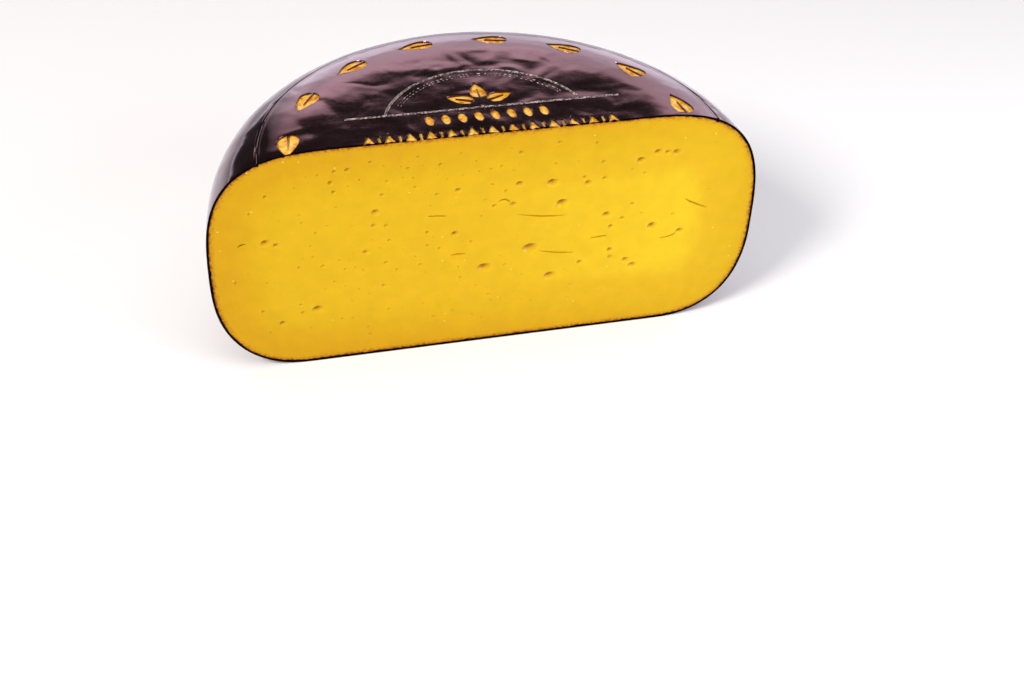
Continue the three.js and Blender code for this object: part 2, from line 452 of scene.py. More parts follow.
def eye_cutter(bm, place, width, stretch, lean, sides, rings):
    """A soft-lipped bowl in front of and behind the cut face, whose bottom leans up and to the left."""
    reach = 0.7 * width
    depth = 0.75 * width
    bowl = bmesh.new()
    outline = []
    for i in range(rings + 1):
        share = i / rings
        outline.append((share * reach, depth * (0.5 + 0.5 * math.cos(math.pi * share)) ** 1.3))
    outline.append((1.08 * reach, -0.25 * width))
    verts = [bowl.verts.new((radius, inward, 0)) for radius, inward in outline]
    verts.append(bowl.verts.new((0, -0.25 * width, 0)))
    edges = [bowl.edges.new(pair) for pair in zip(verts, verts[1:])]
    geom = [*verts, *edges]
    bmesh.ops.spin(
        bowl, geom=geom, cent=(0, 0, 0), axis=(0, 1, 0), angle=2 * math.pi, steps=sides, use_merge=True
    )
    bmesh.ops.remove_doubles(bowl, verts=bowl.verts, dist=0.001 * MM)
    bmesh.ops.recalc_face_normals(bowl, faces=bowl.faces)
    for vert in bowl.verts:
        inward = max(0, vert.co.y)
        vert.co.x = vert.co.x * stretch - lean * inward
        vert.co.z += lean * inward
    bmesh.ops.translate(bowl, verts=bowl.verts, vec=place)
    add_mesh(bm, bowl)


def slit_cutter(bm, start, end, sag, index):
    """A thin bent lens that opens a crack in the cut face."""
    lens = bmesh.new()
    bmesh.ops.create_uvsphere(lens, u_segments=28, v_segments=6, radius=1)
    along = end - start
    middle = (start + end) / 2
    across = Vector((-along.z, 0, along.x)).normalized()
    for vert in lens.verts:
        share = vert.co.x
        thin = 1 - 0.35 * abs(swell(Vector((share * 3, 0, index)), 1, 5))
        bend = sag * (1 - share**2) + 0.8 * MM * swell(Vector((share * 4, 0, index)), 1, 3)
        offset = bend + vert.co.z * 0.55 * MM * thin
        vert.co = middle + along * (share / 2) + across * offset + Vector((0, vert.co.y * 1.0 * MM, 0))
    bmesh.ops.recalc_face_normals(lens, faces=lens.faces)
    add_mesh(bm, lens)


def face_spot(across_share, height_share):
    return Vector((across_share * HALF_WIDTH, FACE_Y, height_share * HEIGHT))


def slice_into_cells(bm, faces):
    """Slices a flat face into a grid of cells, so that the depth under the rind can change across it."""
    slices = [(Vector((i * CELL, 0, 0)), (1, 0, 0)) for i in range(-20, 21)]
    slices += [(Vector((0, 0, i * CELL)), (0, 0, 1)) for i in range(1, 20)]
    faces = list(faces)
    for place, normal in slices:
        edges = {edge for face in faces for edge in face.edges}
        verts = {vert for face in faces for vert in face.verts}
        geom = [*faces, *edges, *verts]
        cut = bmesh.ops.bisect_plane(bm, geom=geom, plane_co=place, plane_no=normal)["geom"]
        faces = [item for item in cut if isinstance(item, bmesh.types.BMFace)]


def slit_cutters():
    bm = bmesh.new()
    for index, (x0, z0, x1, z1, sag) in enumerate(SLITS):
        slit_cutter(bm, face_spot(x0, z0), face_spot(x1, z1), sag * MM, index)
    return mesh_of(bm, "slits")


def eye_cutters(body):
    """The eyes, and pinholes scattered clear of them and of the slits."""
    bm = bmesh.new()
    dice = random.Random(body.seed)
    taken = []
    for across, height, width, stretch in EYES:
        place = face_spot(across, height)
        eye_cutter(bm, place, width * MM, stretch, 0.5 + 0.3 * dice.random(), 18, 7)
        taken.append((place, width * MM * stretch))
    for x0, z0, x1, z1, _ in SLITS:
        for step in range(9):
            taken.append((face_spot(x0, z0).lerp(face_spot(x1, z1), step / 8), 2.5 * MM))
    made = 0
    while made < body.pinholes:
        across = dice.gauss(-0.25, 0.4)
        height = 0.1 + 0.82 * dice.random()
        place = face_spot(across, height)
        width = (0.6 + 1.0 * dice.random() ** 2) * MM
        if abs(across) > 0.92 - 0.25 * abs(2 * height - 1) ** 3:
            continue
        if any((place - other).length < size + 1.4 * width for other, size in taken):
            continue
        eye_cutter(bm, place, width, 1 + 0.4 * dice.random(), 0.5, 8, 4)
        taken.append((place, 1.5 * width))
        made += 1
    return mesh_of(bm, "eyes")


def depth_under_rind(mesh, shape, inset):
    """Stores on each vertex how far it lies under the rind, up to 30 mm."""
    line = np.array([tuple(point) for point in spaced(smooth_profile(shape, inset), lambda point: 2 * MM)])
    count = len(mesh.vertices)
    where = np.empty(count * 3)
    mesh.vertices.foreach_get("co", where)
    where = where.reshape(-1, 3)
    flat = np.stack([np.hypot(where[:, 0], where[:, 1] - AXIS.y), where[:, 2]], axis=1)
    nearest = np.full(count, 30 * MM)
    for start, end in zip(line, line[1:]):
        along = end - start
        share = np.clip(((flat - start) @ along) / (along @ along), 0, 1)
        nearest = np.minimum(nearest, np.linalg.norm(flat - start - share[:, None] * along, axis=1))
    mesh.attributes.new("rind_depth", "FLOAT", "POINT").data.foreach_set("value", nearest / MM)


def cut_cheese_material(body):
    """Young pressed cheese, cut with a sharp knife: dense, slightly translucent and moist, deeper and drier
    in colour towards the rind, with a faint drag of the knife and pale flecks of curd."""
    material, tree, place = new_material("cut_semi_hard_cheese")
    depth = add_node(tree, "Attribute", attribute_name="rind_depth").outputs["Fac"]

    # Curd grains of 6 to 8 mm that pressed together, and slow changes over 50 mm
    curd = add_node(tree, "TexNoise", {"Vector": place, "Scale": 140.0, "Detail": 3.0})
    cloud = add_node(tree, "TexNoise", {"Vector": place, "Scale": 18.0, "Detail": 2.0})
    wander = add_node(tree, "Math", {0: cloud, 1: 5.0, 2: -2.5}, operation="MULTIPLY_ADD")
    # Painted light: the colour runs deeper and darker towards the left end and lighter towards the right,
    # standing in for the light that falls more on the right
    across = add_node(tree, "SeparateXYZ", {"Vector": place}).outputs["X"]
    wander_and_side_light = add_node(tree, "Math", {0: across, 1: 80.0, 2: wander}, operation="MULTIPLY_ADD")
    shifted = add_node(tree, "Math", {0: depth, 1: wander_and_side_light}, operation="ADD")
    band = add_node(tree, "MapRange", {"Value": shifted, "From Max": 40.0})
    inside = add_node(
        tree,
        "ValToRGB",
        {"Fac": band},
        stops=[
            (0.0, tuple(body.near_rind)),
            (0.4, linear("#d2a90a")),
            (0.75, tuple(body.middle)),
            (1.0, linear("#e4c21a")),
        ],
    )
    # The outermost 2.2 mm is drier, and tan right under the wax, in a line that crumbs of 1.1 mm fray
    crumbs = add_node(tree, "TexNoise", {"Vector": place, "Scale": 900.0, "Detail": 3.0})
    broken = add_node(tree, "Math", {0: crumbs, 1: 4.0, 2: -2.0}, operation="MULTIPLY_ADD")
    frayed = add_node(tree, "Math", {0: depth, 1: broken}, operation="ADD")
    edge = add_node(tree, "MapRange", {"Value": frayed, "From Max": 2.2})
    rim = add_node(
        tree,
        "ValToRGB",
        {"Fac": edge},
        stops=[(0.0, linear("#b0803c")), (0.4, linear("#efdcae")), (1.0, grey(1.0))],
    )
    toned = add_node(tree, "Mix", {0: 1.0, 6: inside, 7: rim}, data_type="RGBA", blend_type="MULTIPLY")
    mottle = add_node(tree, "ValToRGB", {"Fac": curd}, stops=[(0.3, grey(0.93)), (0.7, grey(1.0))])
    mottled = add_node(
        tree, "Mix", {0: 1.0, 6: toned.outputs[2], 7: mottle}, data_type="RGBA", blend_type="MULTIPLY"
    )
    # Flecks 0.6 mm across, in two out of five of the 5 mm cells
    cells = add_node(tree, "TexVoronoi", {"Vector": place, "Scale": 200.0})
    chance = add_node(tree, "SeparateColor", {"Color": cells.outputs["Color"]})
    picked = add_node(tree, "Math", {0: chance, 1: 0.6}, operation="GREATER_THAN")
    spot = add_node(
        tree, "MapRange", {"Value": cells, "From Min": 0.04, "From Max": 0.08, "To Min": 0.7, "To Max": 0.0}
    )
    fleck = add_node(tree, "Math", {0: picked, 1: spot}, operation="MULTIPLY")
    flecked = add_node(
        tree, "Mix", {0: fleck, 6: mottled.outputs[2], 7: linear("#f8e08c")}, data_type="RGBA"
    )
    # The walls of the eyes and the cracks are oilier (the gloss below); their deeper colour is painted shade,
    # darkening with the depth behind the face as the shade in these hollows does
    inward = add_node(tree, "SeparateXYZ", {"Vector": place}).outputs["Y"]
    painted_hollow_shade = add_node(
        tree,
        "MapRange",
        {"Value": inward, "From Min": FACE_Y + 0.15 * MM, "From Max": FACE_Y + 1.6 * MM, "To Max": 0.6},
    )
    colour = add_node(
        tree, "Mix", {0: painted_hollow_shade, 6: flecked.outputs[2], 7: linear("#c08404")}, data_type="RGBA"
    ).outputs[2]

    # The knife's drag: ridges 1.5 mm apart and long along X; and the curd's own fine tooth of 0.7 mm
    drawn = add_node(tree, "Mapping", {"Vector": place, "Scale": (0.08, 1.0, 1.0)})
    drag = add_node(tree, "TexNoise", {"Vector": drawn, "Scale": 650.0, "Detail": 3.0})
    tooth = add_node(tree, "TexNoise", {"Vector": place, "Scale": 1500.0, "Detail": 2.0})
    dented = add_node(tree, "Bump", {"Height": curd, "Strength": 0.3, "Distance": 0.5 * MM})
    dragged = add_node(
        tree, "Bump", {"Height": drag, "Strength": 0.5, "Distance": 0.2 * MM, "Normal": dented}
    )
    rough = add_node(
        tree, "Bump", {"Height": tooth, "Strength": 0.6, "Distance": 0.1 * MM, "Normal": dragged}
    )
    wall = add_node(
        tree, "MapRange", {"Value": inward, "From Min": FACE_Y + 0.05 * MM, "From Max": FACE_Y + 0.4 * MM}
    )
    gloss = add_node(tree, "MapRange", {"Value": wall, "To Min": 0.48, "To Max": 0.36})
    shine = add_node(tree, "MapRange", {"Value": wall, "To Min": 0.18, "To Max": 0.35})
    skin = add_node(
        tree,
        "BsdfPrincipled",
        {
            "Base Color": colour,
            "Roughness": gloss,
            "IOR": 1.45,
            "Specular IOR Level": shine,
            "Subsurface Weight": 0.2,
            "Subsurface Radius": (1.0, 0.7, 0.15),
            "Subsurface Scale": 1.5 * MM,
            "Normal": rough,
        },
    )
    add_node(tree, "OutputMaterial", {"Surface": skin})
    return material


def rind_material(body):
    """Natural rind under the wax: oily, orange and pitted by the press cloth."""
    material, tree, place = new_material("oily_cheese_rind")
    # Cloth marks of 1.1 mm, and crumbs and stains of 3 mm
    weave = add_node(tree, "TexVoronoi", {"Vector": place, "Scale": 900.0})
    patch = add_node(tree, "TexNoise", {"Vector": place, "Scale": 330.0, "Detail": 4.0})
    colour = add_node(
        tree,
        "ValToRGB",
        {"Fac": patch},
        stops=[(0.34, linear("#c97a14")), (0.46, tuple(body.rind)), (0.58, linear("#fdca60"))],
    )
    pitted = add_node(tree, "Bump", {"Height": weave, "Strength": 0.6, "Distance": 0.6 * MM})
    lumpy = add_node(
        tree, "Bump", {"Height": patch, "Strength": 0.8, "Distance": 1.0 * MM, "Normal": pitted}
    )
    skin = add_node(
        tree,
        "BsdfPrincipled",
        {
            "Base Color": colour,
            "Roughness": 0.32,
            "IOR": 1.45,
            "Subsurface Weight": 0.2,
            "Subsurface Radius": (1.0, 0.5, 0.15),
            "Subsurface Scale": 2.0 * MM,
            "Normal": lumpy,
        },
    )
    add_node(tree, "OutputMaterial", {"Surface": skin})
    return material


class CHEESE_OT_make_body(bpy.types.Operator):
    """Models the pressed cheese with its cut face and eyes"""

    bl_idname = "cheese.make_body"
    bl_label = "Make the cheese"

    def execute(self, context):
        scene = context.scene
        inset = COAT_SETTLE + scene.cheese_wax.thickness + 0.03 * MM
        profile = spaced(smooth_profile(scene.cheese_shape, inset), lambda point: PROFILE_GAP)
        bm = spun_wheel(profile)
        cut_in_half(bm, FACE_Y)
        rim = list({vert for edge in open_edges(bm) for vert in edge.verts})
        bmesh.ops.remove_doubles(bm, verts=rim, dist=0.8 * MM)
        face = bmesh.ops.contextual_create(bm, geom=open_edges(bm))["faces"]
        if len(face) != 1:
            raise RuntimeError("the cut face of the cheese did not close")
        for step in (0.5, 0.7, 1.2, 2.4):
            bmesh.ops.inset_region(bm, faces=face, thickness=step * MM, use_even_offset=True)
        slice_into_cells(bm, face)
        bmesh.ops.recalc_face_normals(bm, faces=bm.faces)
        piece = put_in_scene(mesh_of(bm, "cheese_body"), "cheese_body")
        take_away(piece, eye_cutters(scene.cheese_body))
        take_away(piece, slit_cutters())

        piece.data.materials.clear()
        piece.data.materials.append(cut_cheese_material(scene.cheese_body))
        piece.data.materials.append(rind_material(scene.cheese_body))
        depth_under_rind(piece.data, scene.cheese_shape, inset)
        bm = bmesh.new()
        bm.from_mesh(piece.data)
        depth = bm.verts.layers.float["rind_depth"]
        level = {face for face in bm.faces if in_plane(face, FACE_Y)}
        for face in bm.faces:
            face.smooth = True
            on_rind = face not in level and max(vert[depth] for vert in face.verts) < 0.1  # mm
            face.material_index = 1 if on_rind else 0
        for edge in bm.edges:
            edge.smooth = len({face in level for face in edge.link_faces}) == 1
        bm.to_mesh(piece.data)
        bm.free()
        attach(piece, "root")
        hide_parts("cheese_paste")
        return {"FINISHED"}


# ---- the wax coat ----

# Materials of the coat, in their order on the piece
DIPPED, SCUFFED_PAINTED_GLINTS, KNIFE_CUT = range(3)

# The pattern on the top: each cut-out's two sizes, and places counted back from the cut
LEAF_STEPS = 14  # points along each side of a leaf
LEAF = (17 * MM, 10 * MM)  # length, width
FIRST_LEAF = math.radians(9.7)
LEAF_PITCH = math.radians(23.3)
LEAF_COUNT = 8
SPRIG_LEAF = (13 * MM, 8 * MM)  # length, width
SPRIG_FOOT = 24 * MM
SPRIG_GAP = 3.2 * MM
SPRIG_SPREAD = math.radians(68)
STALK = (1.8 * MM, 7.2 * MM)  # width, length, as for the shapes below
LOZENGE = (4.8 * MM, 13 * MM)
LOZENGE_PITCH = 8.6 * MM
LOZENGE_COUNT = 13
BAR = (1.5 * MM, 9.2 * MM)
GRAIN = (4 * MM, 8.5 * MM)
GRAIN_PITCH = 7 * MM
GRAIN_COUNT = 8
GRAIN_ROW = 13 * MM
ARC_RADIUS = 44 * MM
ARC_CENTRE = 6.5 * MM
LINE = 19.5 * MM
LINE_REACH = 59 * MM  # to each side
EDGE_APART = 0.36 * MM  # of the arc's and the line's two raised edges, from the middle

# The ring that the press left on the shoulder: a low ridge, and a groove outside it that forks at one end
PRESS_RING = 97 * MM
RIDGE_RISE = 0.12 * MM
RIDGE_HALF = 1.1 * MM
GROOVE_DEPTH = 0.5 * MM
GROOVE_HALF = 0.6 * MM
FORK_DEPTH = 0.45 * MM
FORK_TURN = 0.35  # radians
FORK_REACH = 3.5 * MM


def coat_gap(point):
    """Closer points where the press ring is, on the upper side."""
    radius, height = point
    if height > 0.9 * HEIGHT and PRESS_RING - 4 * MM < radius < PRESS_RING + 5 * MM:
        return FINE_GAP
    return PROFILE_GAP


def bump_at(distance, half_width):
    """A smooth hump, 1 in its middle and 0 at half_width from it."""
    share = min(1, abs(distance) / half_width)
    return 0.5 + 0.5 * math.cos(math.pi * share)


def coat_lift(point, waviness):
    """How far the wax stands out from, or sinks below, its even surface at a point."""
    from_axis = point - AXIS
    radius = math.hypot(from_axis.x, from_axis.y)
    turn = math.atan2(from_axis.y, from_axis.x)
    fade = min(1, max(0, (point.z - 2 * MM) / (12 * MM)))
    sizes = ((0.6, 38 * MM, 1), (0.32, 15 * MM, 2), (0.08, 6 * MM, 3))  # share, size, seed
    waves = sum(share * swell(point, size, seed) for share, size, seed in sizes)
    lift = waviness * waves * fade
    if point.z > 0.85 * HEIGHT:
        wander = 0.6 * MM * math.sin(3 * turn + 1)
        past = radius - PRESS_RING - wander
        lift += RIDGE_RISE * bump_at(past, RIDGE_HALF)
        lift -= GROOVE_DEPTH * bump_at(past - RIDGE_HALF, GROOVE_HALF)
        if 0 < turn < FORK_TURN:
            apart = FORK_REACH * (1 - turn / FORK_TURN)
            lift -= FORK_DEPTH * bump_at(past - RIDGE_HALF - apart, GROOVE_HALF)
    return lift


def top_height(shape, x, y, waviness):
    """Height of the wax over (x, y), on the level top or the top shoulder."""
    radius = math.hypot(x, y - AXIS.y)
    across = max(0, radius - shape.top_flat) / (RADIUS - shape.top_flat)
    up = max(0, 1 - across**shape.top_power) ** (1 / shape.top_power)
    level = shape.belly_height + (HEIGHT - shape.belly_height) * up - COAT_SETTLE
    return min(level + coat_lift(Vector((x, y, level)), waviness), HEIGHT - 0.2 * MM)


def leaf_outline(length, width):
    """A leaf along +X from its foot at the origin, with a notch where the vein of wax stands."""
    foot = 0.35 * MM
    lower = interpolate_bezier(
        Vector((0, -foot)),
        Vector((0.1 * length, -0.8 * width)),
        Vector((0.62 * length, -0.42 * width)),
        Vector((length, 0)),
        LEAF_STEPS,
    )
    upper = [Vector((point.x, -point.y)) for point in reversed(lower)]
    return [Vector((p.x, p.y)) for p in lower] + upper[1:] + [Vector((0.62 * length, 0))]


def lozenge_outline(width, length):
    return [Vector(p) for p in ((width / 2, 0), (0, length / 2), (-width / 2, 0), (0, -length / 2))]


def bar_outline(width, length):
    corners = ((1, -1), (1, 1), (-1, 1), (-1, -1))
    return [Vector((sx * width / 2, sy * length / 2)) for sx, sy in corners]


def grain_outline(width, length):
    turns = [2 * math.pi * i / 20 for i in range(20)]
    return [Vector((width / 2 * math.cos(turn), length / 2 * math.sin(turn))) for turn in turns]


def placed(outline, x, y, turn):
    """An outline turned and moved to its place on the top."""
    spin = Matrix.Rotation(turn, 2)
    return [spin @ point + Vector((x, y)) for point in outline]


def pattern_outlines(coat):
    """Every cut-out of the top, as a closed outline in the row's X and Y."""
    outlines = []
    for i in range(LEAF_COUNT):
        angle = FIRST_LEAF + i * LEAF_PITCH
        along = angle + math.pi / 2
        x = coat.leaf_ring * math.cos(angle) - LEAF[0] / 2 * math.cos(along)
        y = coat.leaf_ring * math.sin(angle) - LEAF[0] / 2 * math.sin(along)
        outlines.append(placed(leaf_outline(*LEAF), x, AXIS.y + y, along))
    foot = CUT_Y + SPRIG_FOOT
    for step in (-1, 0, 1):
        turn = math.pi / 2 + step * SPRIG_SPREAD
        x, y = SPRIG_GAP * math.cos(turn), foot + SPRIG_GAP * math.sin(turn)
        outlines.append(placed(leaf_outline(*SPRIG_LEAF), x, y, turn))
    outlines.append(placed(lozenge_outline(*STALK), 0, foot - STALK[1] / 2, 0))
    for i in range(LOZENGE_COUNT):
        x = (i - (LOZENGE_COUNT - 1) / 2) * LOZENGE_PITCH
        outlines.append(placed(lozenge_outline(*LOZENGE), x, CUT_Y, 0))
        if i > 0:
            outlines.append(placed(bar_outline(*BAR), x - LOZENGE_PITCH / 2, CUT_Y, 0))
    for i in range(GRAIN_COUNT):
        x = (i - (GRAIN_COUNT - 1) / 2) * GRAIN_PITCH
        outlines.append(placed(grain_outline(*GRAIN), x, CUT_Y + GRAIN_ROW, 0))
    return outlines


def pattern_cutters(outlines):
    """A prism through the top of the coat for each outline."""
    bm = bmesh.new()
    floor = HEIGHT - 20 * MM
    for outline in outlines:
        face = bm.faces.new([bm.verts.new((point.x, point.y, floor)) for point in outline])
        raised = bmesh.ops.extrude_face_region(bm, geom=[face])["geom"]
        verts = [item for item in raised if isinstance(item, bmesh.types.BMVert)]
        bmesh.ops.translate(bm, verts=verts, vec=(0, 0, 22 * MM))
    bmesh.ops.recalc_face_normals(bm, faces=bm.faces)
    return mesh_of(bm, "pattern")


def closed_walk(outline, gap):
    """Points at most gap apart round a closed outline."""
    points = []
    for start, end in zip(outline, [*outline[1:], outline[0]]):
        count = max(1, math.ceil((end - start).length / gap))
        points += [start.lerp(end, i / count) for i in range(count)]
    return points


def emblem_lines():
    """The two raised edges of the arc and of the line it stands on, and a broken row inside the arc."""
    reach = math.asin((LINE - ARC_CENTRE) / ARC_RADIUS)
    centre = Vector((0, CUT_Y + ARC_CENTRE))
    lines = []
    for side in (-EDGE_APART, EDGE_APART):
        turns = [reach + (math.pi - 2 * reach) * i / 160 for i in range(161)]
        lines.append([centre + (ARC_RADIUS + side) * Vector((math.cos(t), math.sin(t))) for t in turns])
        y = CUT_Y + LINE + side
        lines.append([Vector((LINE_REACH * (i / 80 - 1), y)) for i in range(161)])
    dice = random.Random(3)
    turn = reach + 0.22
    while turn < math.pi - reach - 0.2:
        step = 0.02 + 0.035 * dice.random()
        for radius in (ARC_RADIUS - 3.2 * MM, ARC_RADIUS - 4.6 * MM):
            ends = [turn + dice.random() * 0.01, turn + step * (0.6 + 0.3 * dice.random())]
            lines.append([centre + radius * Vector((math.cos(t), math.sin(t))) for t in ends])
        turn += step + 0.008 + 0.02 * dice.random()
    return lines


def on_top(shape, coat, path, raised):
    """A path over the top of the coat, raised above it, as (point, relative thickness)."""
    spots = []
    for at in path:
        size = 0.85 + 0.5 * swell(Vector((at.x, at.y, 0)), 2.2 * MM, 9)
        spots.append((Vector((at.x, at.y, top_height(shape, at.x, at.y, coat.waviness) + raised)), size))
    return spots


def cut_edge(shape, coat):
    """The inner edge of the coat along the cut, as (point, relative thickness), for the wax that the knife
    dragged over the cheese."""
    profile = spaced(smooth_profile(shape, COAT_SETTLE + coat.thickness - 0.1 * MM), lambda point: 0.6 * MM)
    reach = CUT_Y - AXIS.y
    right = [(math.sqrt(radius**2 - reach**2), height) for radius, height in profile if radius > reach]
    spots = []
    for x, z in right + [(-x, z) for x, z in reversed(right)]:
        at = Vector((x, FACE_Y, z))
        spots.append((at, max(0.1, 0.6 + 1.5 * swell(at, 1.6 * MM, 11) + 0.7 * swell(at, 6 * MM, 12))))
    return spots


def wax_threads(paths, closed, thick):
    """Rounded threads of wax, thicker and thinner as melted wax is."""
    curve = bpy.data.curves.new("threads", "CURVE")
    curve.dimensions = "3D"
    curve.bevel_depth = thick
    curve.bevel_resolution = 1
    curve.use_fill_caps = True
    for path in paths:
        spline = curve.splines.new("POLY")
        spline.points.add(len(path) - 1)
        spline.use_cyclic_u = closed
        for point, (at, size) in zip(spline.points, path):
            point.co = (*at, 1)
            point.radius = size
    holder = put_in_scene(curve, "threads")
    graph = bpy.context.evaluated_depsgraph_get()
    mesh = bpy.data.meshes.new_from_object(holder.evaluated_get(graph))
    bpy.data.objects.remove(holder)
    bpy.data.curves.remove(curve)
    bm = bmesh.new()
    bm.from_mesh(mesh)
    bpy.data.meshes.remove(mesh)
    bmesh.ops.remove_doubles(bm, verts=bm.verts, dist=0.005 * MM)
    return bm


def wax_material(coat):
    """Dipped cheese wax: very dark red-brown and glassy, with the slow ripple and the small pits of a dip
    that set as it ran, and fine handling scratches."""
    material, tree, place = new_material("dipped_cheese_wax")
    # Ripple of the dip, 14 mm from crest to crest; orange peel at 2 mm; pits 2.4 mm apart; scratches
    ripple = add_node(tree, "TexNoise", {"Vector": place, "Scale": 70.0, "Detail": 0.6, "Distortion": 0.5})
    peel = add_node(tree, "TexNoise", {"Vector": place, "Scale": 500.0, "Detail": 3.0})
    pits = add_node(tree, "TexVoronoi", {"Vector": place, "Scale": 420.0})
    pit = add_node(tree, "MapRange", {"Value": pits, "From Max": 0.12})
    drawn = add_node(tree, "Mapping", {"Vector": place, "Rotation": (0, 0, 0.6), "Scale": (0.05, 1.0, 1.0)})
    scratch = add_node(tree, "TexNoise", {"Vector": drawn, "Scale": 900.0, "Detail": 1.0})
    hair = add_node(tree, "MapRange", {"Value": scratch, "From Min": 0.62, "From Max": 0.7})
    rippled = add_node(tree, "Bump", {"Height": ripple, "Strength": 0.5, "Distance": 0.9 * MM})
    peeled = add_node(
        tree, "Bump", {"Height": peel, "Strength": 0.05, "Distance": 0.2 * MM, "Normal": rippled}
    )
    pitted = add_node(
        tree, "Bump", {"Height": pit, "Strength": 0.15, "Distance": 0.1 * MM, "Normal": peeled}
    )
    scratched = add_node(
        tree, "Bump", {"Height": hair, "Strength": 0.05, "Distance": 0.05 * MM, "Normal": pitted}
    )
    tone = add_node(
        tree, "ValToRGB", {"Fac": ripple}, stops=[(0.35, linear("#0e0504")), (0.65, tuple(coat.colour))]
    )
    gloss = add_node(
        tree, "MapRange", {"Value": peel, "From Min": 0.3, "From Max": 0.7, "To Min": 0.07, "To Max": 0.13}
    )
    skin = add_node(
        tree,
        "BsdfPrincipled",
        {
            "Base Color": tone,
            "Roughness": gloss,
            "IOR": 1.6,
            "Specular IOR Level": 1.0,
            "Specular Tint": linear("#ff8caa"),
            "Sheen Weight": 0.4,
            "Sheen Roughness": 0.25,
            "Sheen Tint": linear("#e4e0f6"),
            "Coat Weight": 0.35,
            "Coat Roughness": 0.1,
            "Coat IOR": 1.5,
            "Coat Tint": linear("#f2f0ff"),
            "Coat Normal": pitted,
            "Normal": scratched,
        },
    )
    add_node(tree, "OutputMaterial", {"Surface": skin})
    return material


def scuffed_wax_painted_glint_material():
    """Wax that a hot tool dragged up: frosted, paler than the coat, and rough enough to glint in points; its
    pale crumbs are partly painted glints.
    """
    material, tree, place = new_material("scuffed_cheese_wax_painted_glints")
    # Crumbs of 0.7 mm; the palest of them are partly painted glints
    crumb = add_node(tree, "TexNoise", {"Vector": place, "Scale": 1400.0, "Detail": 2.0})
    tone = add_node(
        tree,
        "ValToRGB",
        {"Fac": crumb},
        stops=[(0.42, linear("#2a1a18")), (0.5, linear("#7c6660")), (0.58, linear("#d2c4bc"))],
    )
    bumpy = add_node(tree, "Bump", {"Height": crumb, "Strength": 0.8, "Distance": 0.4 * MM})
    skin = add_node(tree, "BsdfPrincipled", {"Base Color": tone, "Roughness": 0.3, "Normal": bumpy})
    add_node(tree, "OutputMaterial", {"Surface": skin})
    return material


def knife_cut_wax_material():
    """The section of the coat that the knife left: nearly black and dull, without the glaze of the dip."""
    material, tree, place = new_material("knife_cut_cheese_wax")
    # Chips of 1.5 mm
    chip = add_node(tree, "TexNoise", {"Vector": place, "Scale": 650.0, "Detail": 3.0})
    bumpy = add_node(tree, "Bump", {"Height": chip, "Strength": 0.6, "Distance": 0.5 * MM})
    skin = add_node(
        tree,
        "BsdfPrincipled",
        {"Base Color": linear("#080302"), "Roughness": 0.7, "Specular IOR Level": 0.02, "Normal": bumpy},
    )
    add_node(tree, "OutputMaterial", {"Surface": skin})
    return material


class CHEESE_OT_make_wax(bpy.types.Operator):
    """Models the wax coat with the pattern cut through its top"""

    bl_idname = "cheese.make_wax"
    bl_label = "Make the wax coat"

    def execute(self, context):
        shape, coat = context.scene.cheese_shape, context.scene.cheese_wax
        bm = spun_wheel(spaced(smooth_profile(shape, COAT_SETTLE), coat_gap))
        for vert in bm.verts:
            vert.normal_update()
        moves = [(vert, vert.normal * coat_lift(vert.co, coat.waviness)) for vert in bm.verts]
        for vert, move in moves:
            vert.co += move
            vert.co.z -= COAT_SETTLE * max(0, 1 - vert.co.z / (6 * MM))
        bmesh.ops.recalc_face_normals(bm, faces=bm.faces)
        outside = set(bm.verts)
        bmesh.ops.solidify(bm, geom=bm.faces[:], thickness=coat.thickness)
        bm.normal_update()
        for vert in bm.verts:
            if vert not in outside and abs(vert.co.y - CUT_Y) < 6 * MM:
                ragged = 0.5 + 0.5 * swell(vert.co, 2.4 * MM, 4) + 0.5 * swell(vert.co, 7 * MM, 6)
                vert.co += vert.normal * max(0, ragged) * coat.ragged
        cut_in_half(bm)
        bmesh.ops.bridge_loops(bm, edges=open_edges(bm))
        bmesh.ops.recalc_face_normals(bm, faces=bm.faces)
        piece = put_in_scene(mesh_of(bm, "wax_skin"), "wax_skin")
        outlines = pattern_outlines(coat)
        take_away(piece, pattern_cutters(outlines))
        piece.data.materials.clear()
        for material in (wax_material(coat), scuffed_wax_painted_glint_material(), knife_cut_wax_material()):
            piece.data.materials.append(material)

        bm = bmesh.new()
        bm.from_mesh(piece.data)
        notched = 2 * LEAF_STEPS  # a leaf's last point is the end of its vein, which has no lip
        rims = [outline[:-1] if len(outline) == notched else outline for outline in outlines]
        lips = [closed_walk(rim, 0.8 * MM) for rim in rims]
        lip_paths = [on_top(shape, coat, path, -0.55 * coat.lip) for path in lips]
        line_paths = [on_top(shape, coat, path, -0.08 * MM) for path in emblem_lines()]
        for threads, slot in (
            (wax_threads(lip_paths, True, coat.lip), DIPPED),
            (wax_threads(line_paths, False, 0.24 * MM), SCUFFED_PAINTED_GLINTS),
        ):
            cut_in_half(threads)
            bmesh.ops.holes_fill(threads, edges=open_edges(threads), sides=0)
            bmesh.ops.recalc_face_normals(threads, faces=threads.faces)
            for face in threads.faces:
                face.material_index = slot
            add_mesh(bm, threads)
        smear = wax_threads([cut_edge(shape, coat)], True, coat.ragged)
        for vert in smear.verts:
            vert.co.y = max(vert.co.y, CUT_Y + 0.02 * MM)
        bmesh.ops.recalc_face_normals(smear, faces=smear.faces)
        for face in smear.faces:
            face.material_index = KNIFE_CUT
        add_mesh(bm, smear)
        for face in bm.faces:
            face.smooth = True
            if in_plane(face, CUT_Y):
                face.material_index = KNIFE_CUT
        bm.to_mesh(piece.data)
        bm.free()
        piece.data.set_sharp_from_angle(angle=math.radians(38))
        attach(piece, "root")
        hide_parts("wax_coat")
        return {"FINISHED"}


# ---- the studio ----

